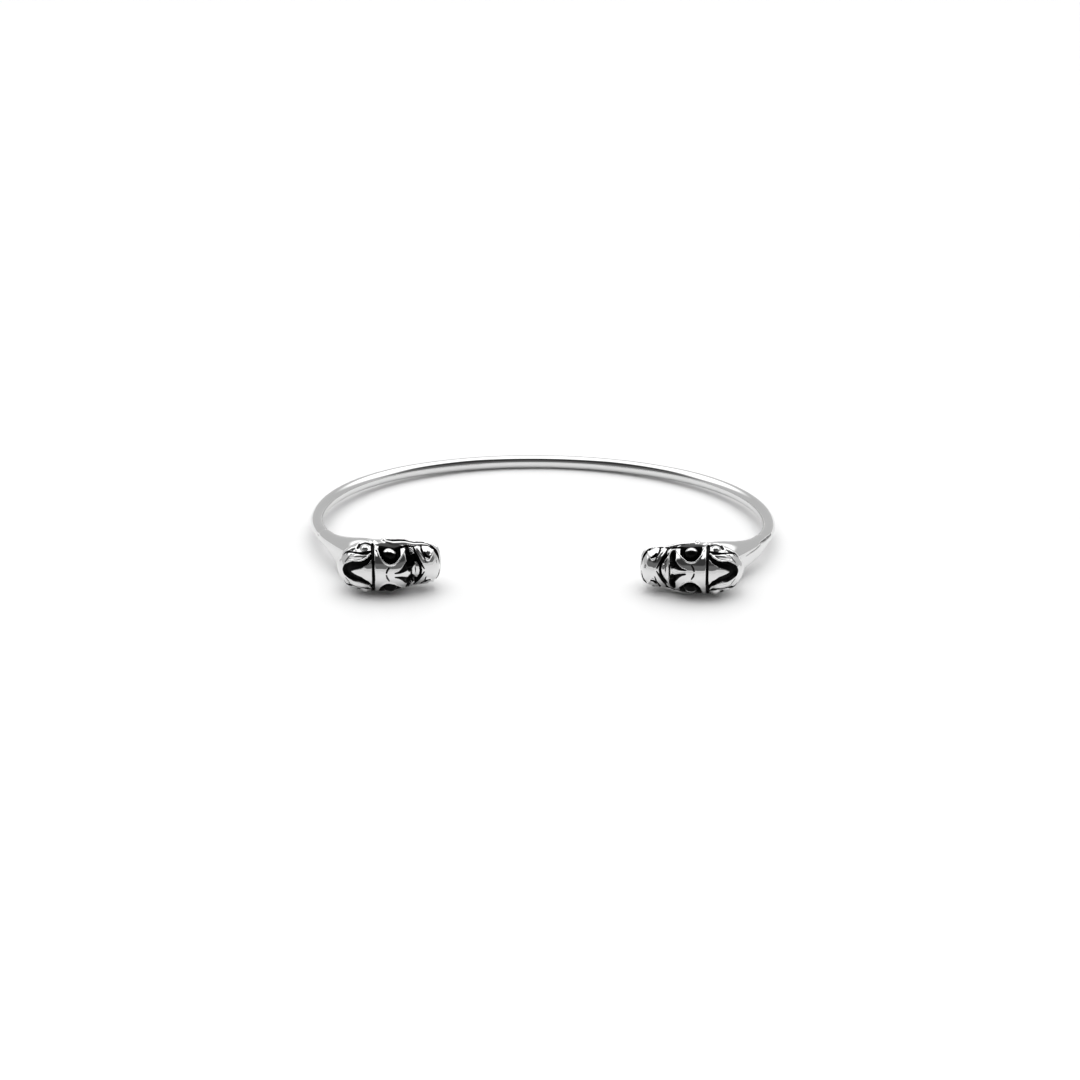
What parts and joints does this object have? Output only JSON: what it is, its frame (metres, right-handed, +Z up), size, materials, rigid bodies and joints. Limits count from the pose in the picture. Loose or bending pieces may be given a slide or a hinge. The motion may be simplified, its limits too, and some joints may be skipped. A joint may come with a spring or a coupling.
{
  "type": "dragon head cuff bracelet",
  "caption": "Open cuff bracelet of thin round silver wire that swells into cast dragon heads with blackened recesses, facing each other nose to nose.",
  "frame": {"origin": "under the middle of the whole cuff, on the surface that it rests on", "axes": "+Z up, +X along the cuff's width towards the right head, -Y towards the gap between the noses"},
  "size_m": [0.066, 0.0528, 0.0074],
  "materials": {
    "silver": "polished sterling silver, recesses of the heads oxidised black"
  },
  "bodies": {
    "root": {"cuff": "silver"}
  },
  "joints": []
}
